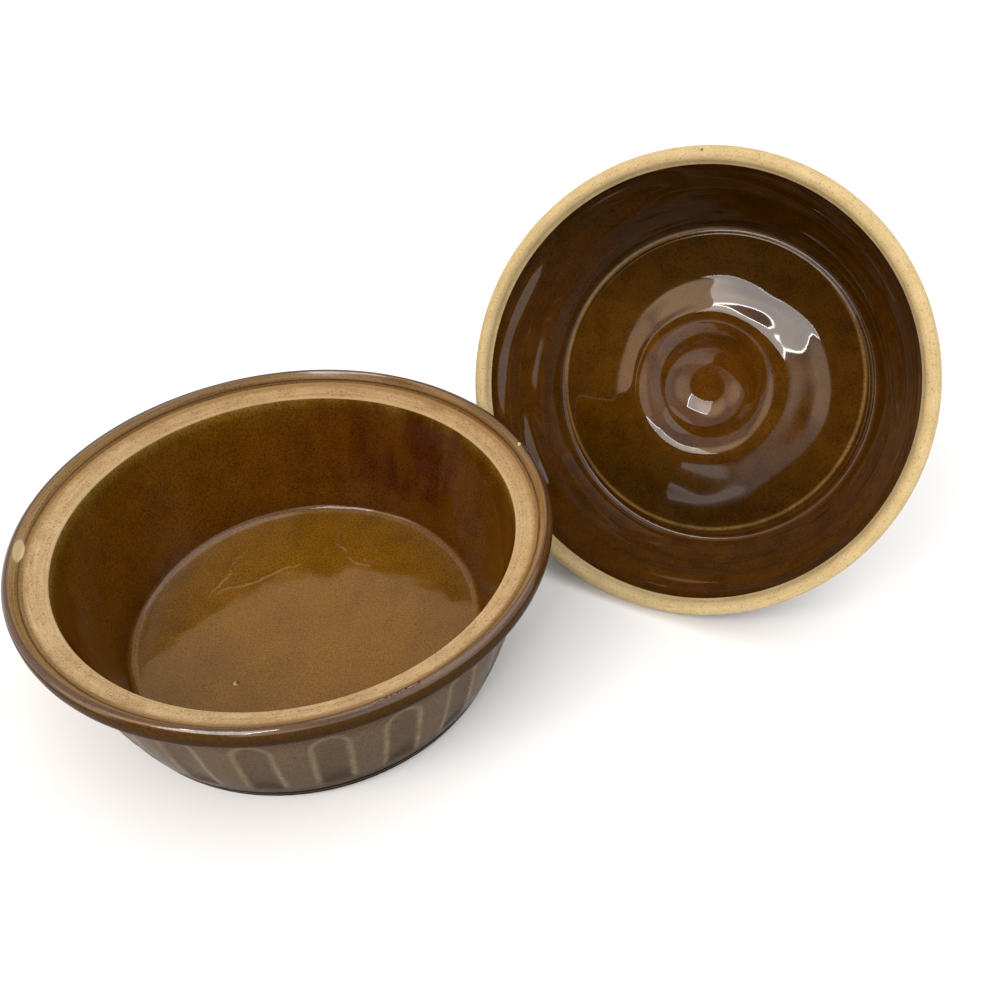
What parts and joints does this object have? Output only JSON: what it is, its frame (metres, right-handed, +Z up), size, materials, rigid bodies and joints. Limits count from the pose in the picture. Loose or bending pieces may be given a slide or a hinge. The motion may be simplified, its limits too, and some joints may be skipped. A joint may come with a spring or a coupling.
{
  "type": "lidded casserole dish",
  "caption": "Round brown-glazed stoneware casserole with an arch-fluted wall and a ledge inside its lip, and a domed lid with a hollow knob, taken off and lying on edge beside it.",
  "frame": {"origin": "middle of the dish's flat base, on the table", "axes": "+Z up through the middle of the dish; -Y towards the viewer in the picture; +X towards the lid"},
  "size_m": [0.3462, 0.2347, 0.1732],
  "materials": {
    "dish_glaze": "glossy brown glaze over buff stoneware, with a bare clay ledge and base",
    "lid_glaze": "glossy dark brown glaze over buff stoneware, with a bare clay rim"
  },
  "bodies": {
    "dish": {"dish": "dish_glaze"},
    "lid": {"lid": "lid_glaze"}
  },
  "joints": [
    {"name": "lid_lift", "type": "slide", "parent": "dish", "child": "lid", "axis": [0.2017, 0.3892, 0.8988], "range_m": [0, 0.1]}
  ]
}
